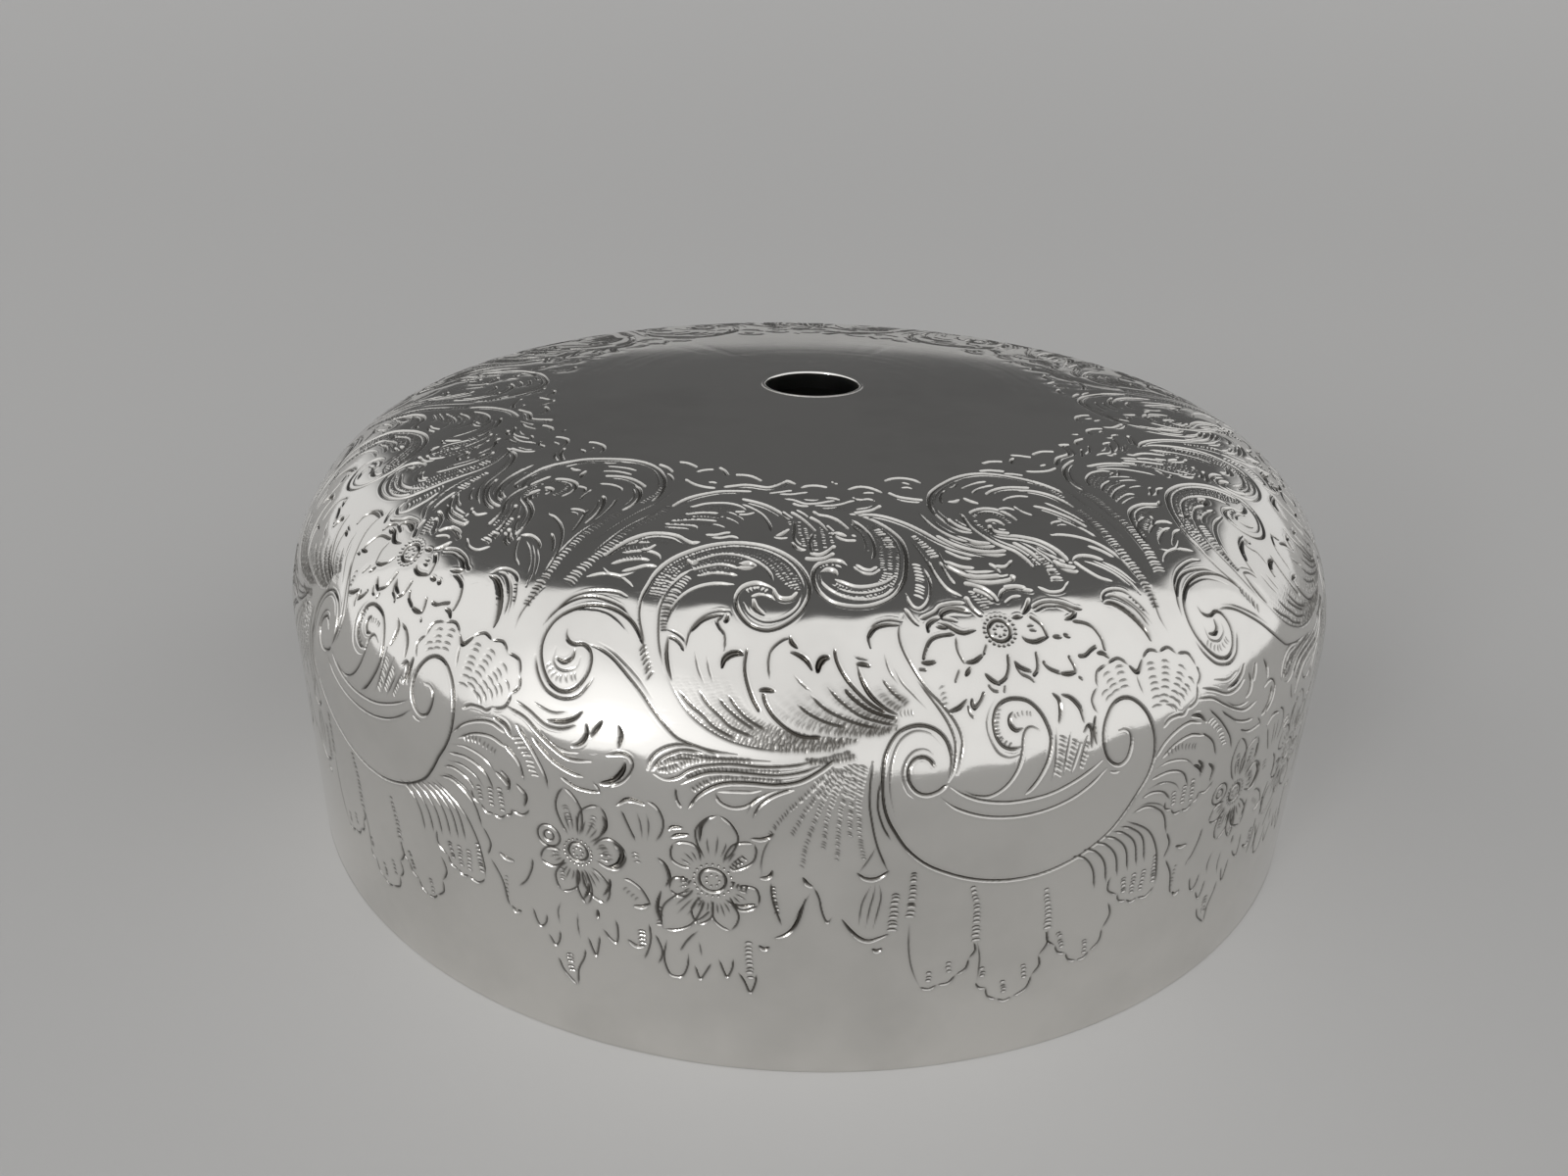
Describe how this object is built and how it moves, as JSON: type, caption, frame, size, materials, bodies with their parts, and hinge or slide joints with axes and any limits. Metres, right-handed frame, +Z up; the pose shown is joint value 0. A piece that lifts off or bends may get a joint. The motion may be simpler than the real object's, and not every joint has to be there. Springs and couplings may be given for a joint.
{
  "type": "domed dish cover",
  "caption": "Round domed dish cover in chased silver plate: straight wall, rounded shoulder, flat crown with an open knob hole lined by a flanged ferrule.",
  "frame": {"origin": "centre of the foot, on the surface that the cover stands on", "axes": "+Z up along the dome's axis; -Y faces the viewer of the picture"},
  "size_m": [0.254, 0.254, 0.0975],
  "materials": {
    "chased_silver": "polished silver plate with chased ornament",
    "ferrule_silver": "bright polished silver plate",
    "inner_silver": "dull silver plate, soldered inside"
  },
  "bodies": {
    "root": {"dome_shell": "chased_silver", "crown_ferrule": "ferrule_silver", "backing_ring": "inner_silver", "rim_band": "inner_silver"}
  },
  "joints": []
}
